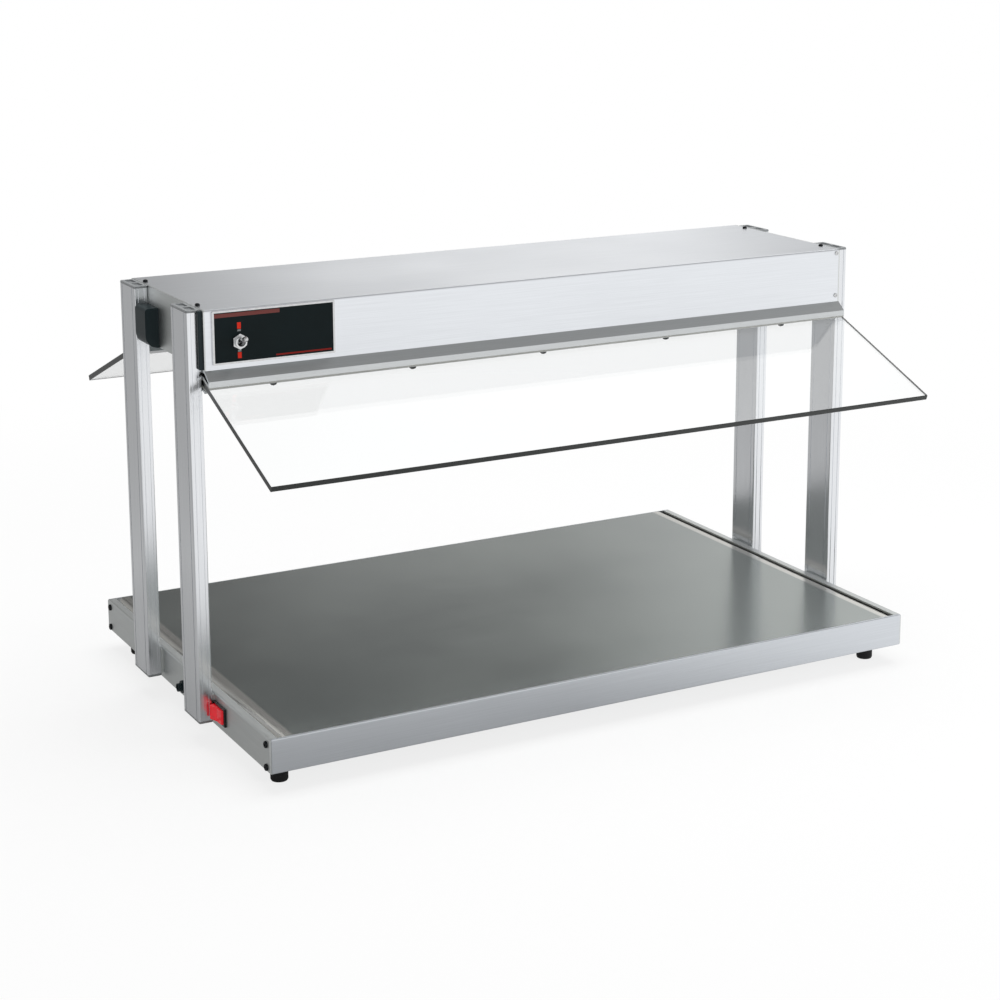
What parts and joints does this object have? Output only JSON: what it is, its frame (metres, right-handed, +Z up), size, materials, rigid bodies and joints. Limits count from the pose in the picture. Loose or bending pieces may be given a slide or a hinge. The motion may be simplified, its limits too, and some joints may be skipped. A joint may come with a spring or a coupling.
{
  "type": "buffet warmer",
  "caption": "Counter-top buffet warmer: heated deck on feet, four flat posts, infrared hood with control panel and sloping glass guards front and rear.",
  "frame": {"origin": "on the counter, midway between the four feet", "axes": "+X along the front from the controls' end to the other end, +Y from the front to the rear, +Z up"},
  "size_m": [0.807, 0.546, 0.46],
  "materials": {
    "satin_aluminium": "satin anodised extrusion and sheet",
    "brushed_steel": "fine satin finish",
    "hard_coated_deck": "smooth hard-coated, half bright",
    "galvanised_sheet": "dull galvanised",
    "polished_reflector": "polished",
    "bright_plated_steel": "bright plated",
    "black_screws": "black oxide",
    "element_sheath": "heat-oxidised sheath",
    "ceramic": "unglazed",
    "silicone_blanket": "smooth silicone",
    "fibre_batt": "glass-fibre batt",
    "black_rubber": "matt",
    "grey_vinyl": "smooth soft vinyl",
    "black_plastic": "moulded",
    "grey_plastic": "moulded, satin",
    "white_nylon": "moulded",
    "gloss_black_panel": "printed film, half gloss",
    "red_rocker": "translucent, lit from inside",
    "tempered_glass": "clear, polished edges"
  },
  "bodies": {
    "root": {"base_front_rail": "satin_aluminium", "base_rear_rail": "satin_aluminium", "base_left_end_plate": "satin_aluminium", "base_right_end_plate": "satin_aluminium", "base_end_screws": "black_screws", "deck_plate": "hard_coated_deck", "deck_heater_blanket": "silicone_blanket", "deck_insulation": "fibre_batt", "base_bottom_pan": "galvanised_sheet", "base_pan_screws": "bright_plated_steel", "deck_thermostat": "white_nylon", "base_terminal_block": "white_nylon", "rubber_feet": "black_rubber", "foot_screws": "bright_plated_steel", "foot_nuts": "bright_plated_steel", "supply_gland": "black_plastic", "rocker_housing": "black_plastic", "post_front_left": "satin_aluminium", "post_rear_left": "satin_aluminium", "post_front_right": "satin_aluminium", "post_rear_right": "satin_aluminium", "post_caps": "grey_plastic", "post_spacers": "satin_aluminium", "post_bolts": "bright_plated_steel", "post_nut_plates": "bright_plated_steel", "hood_shell": "brushed_steel", "hood_left_end_cap": "brushed_steel", "hood_right_end_cap": "brushed_steel", "hood_top_screws": "black_screws", "hood_side_screws": "bright_plated_steel", "hood_centre_rail": "satin_aluminium", "lamp_left_bracket": "galvanised_sheet", "lamp_right_bracket": "galvanised_sheet", "front_reflector": "polished_reflector", "rear_reflector": "polished_reflector", "front_infrared_element": "element_sheath", "rear_infrared_element": "element_sheath", "element_insulators": "ceramic", "front_lamp_guard": "bright_plated_steel", "rear_lamp_guard": "bright_plated_steel", "control_bay_cover": "galvanised_sheet", "hood_terminal_block": "white_nylon", "control_housing": "black_plastic", "control_frame": "bright_plated_steel", "control_faceplate": "gloss_black_panel", "toggle_switch": "black_plastic", "toggle_nut": "bright_plated_steel", "wiring_cover": "black_plastic", "front_guard_channel": "satin_aluminium", "rear_guard_channel": "satin_aluminium", "front_guard_glass": "tempered_glass", "rear_guard_glass": "tempered_glass", "front_guard_gasket": "grey_vinyl", "rear_guard_gasket": "grey_vinyl", "guard_clamp_screws": "black_screws", "guard_channel_screws": "bright_plated_steel"},
    "rocker": {"rocker_button": "red_rocker"},
    "toggle": {"toggle_lever": "bright_plated_steel"}
  },
  "joints": [
    {"name": "rocker_rock", "type": "hinge", "parent": "root", "child": "rocker", "pos_m": [-0.3845, -0.114, 0.0404], "axis": [0, 0, -1], "range_deg": [0, 20]},
    {"name": "toggle_throw", "type": "hinge", "parent": "root", "child": "toggle", "pos_m": [-0.3516, -0.1063, 0.424], "axis": [1, 0, 0], "range_deg": [0, 30]}
  ]
}
